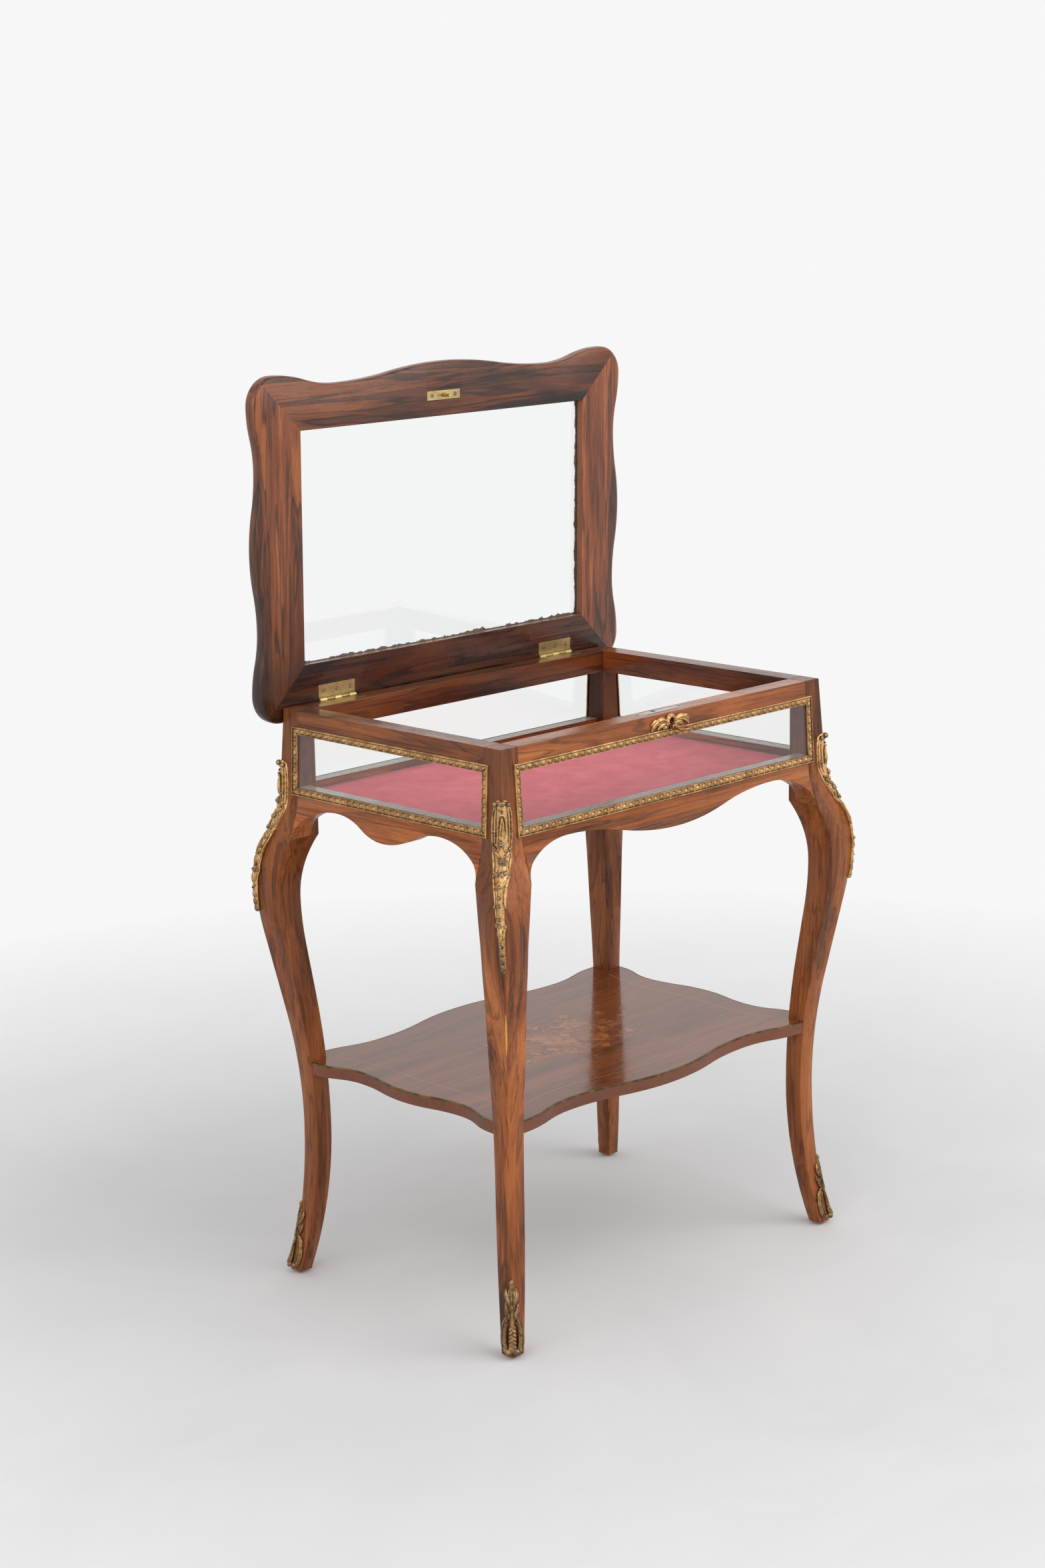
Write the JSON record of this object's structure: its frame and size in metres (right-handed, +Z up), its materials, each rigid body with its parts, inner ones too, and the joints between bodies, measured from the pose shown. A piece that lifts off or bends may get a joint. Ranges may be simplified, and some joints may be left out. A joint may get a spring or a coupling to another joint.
{
  "type": "display table",
  "caption": "Glazed display table in rosewood with a serpentine hinged glass lid, cabriole legs, a shelf between the legs, a lock with its key, and gilt mounts.",
  "frame": {"origin": "on the floor, under the middle of the table", "axes": "+X to the right along the front, -Y towards the front where the key is, +Z up"},
  "size_m": [0.6644, 0.4684, 1.1784],
  "materials": {
    "rosewood": "french-polished veneer",
    "inner_wood": "plain secondary wood",
    "gilt_brass": "gilt casting with dark patina",
    "plain_brass": "plain, slightly tarnished",
    "key_bronze": "brown handled bronze",
    "steel": "worn",
    "glass": "clear",
    "velvet": "short pile",
    "putty": "hardened glazing putty",
    "glide_leather": "worn pads"
  },
  "bodies": {
    "case": {"leg_front_left": "rosewood", "leg_front_right": "rosewood", "leg_back_left": "rosewood", "leg_back_right": "rosewood", "top_rail_front": "rosewood", "top_rail_right": "rosewood", "top_rail_back": "rosewood", "top_rail_left": "rosewood", "apron_front": "rosewood", "apron_right": "rosewood", "apron_back": "rosewood", "apron_left": "rosewood", "pane_front": "glass", "pane_right": "glass", "pane_back": "glass", "pane_left": "glass", "glazing_frame_front": "gilt_brass", "glazing_frame_right": "gilt_brass", "glazing_frame_back": "gilt_brass", "glazing_frame_left": "gilt_brass", "floor_panel": "inner_wood", "velvet_lining": "velvet", "shelf": "rosewood", "shelf_edge_band": "plain_brass", "shelf_dowels": "inner_wood", "foot_glides": "glide_leather", "knee_mounts": "gilt_brass", "sabots": "gilt_brass", "hinge_case_leaves": "plain_brass", "hinge_case_screws": "steel", "lock_case": "steel", "lock_selvedge": "steel", "selvedge_screws": "steel", "escutcheon": "gilt_brass"},
    "lid": {"lid_rail_front": "rosewood", "lid_rail_back": "rosewood", "lid_stile_left": "rosewood", "lid_stile_right": "rosewood", "lid_glass": "glass", "lid_putty": "putty", "hinge_lid_leaves": "plain_brass", "hinge_lid_screws": "steel", "strike_plate": "plain_brass", "strike_screws": "steel"},
    "key": {"key": "key_bronze"},
    "lock_bolt": {"lock_bolt": "steel"}
  },
  "joints": [
    {"name": "lid_hinge", "type": "hinge", "parent": "case", "child": "lid", "pos_m": [0, 0.1985, 0.7602], "axis": [1, 0, 0], "range_deg": [0, 88.5]},
    {"name": "key_turn", "type": "hinge", "parent": "case", "child": "key", "pos_m": [0, -0.19, 0.743], "axis": [0, 1, 0], "range_deg": [0, 90]},
    {"name": "lock_bolt_slide", "type": "slide", "parent": "case", "child": "lock_bolt", "axis": [-1, 0, 0], "range_m": [0, 0.006]}
  ],
  "couplings": [
    {"joint": "lock_bolt_slide", "follows": "key_turn", "m_per_rad": 0.0038196}
  ]
}
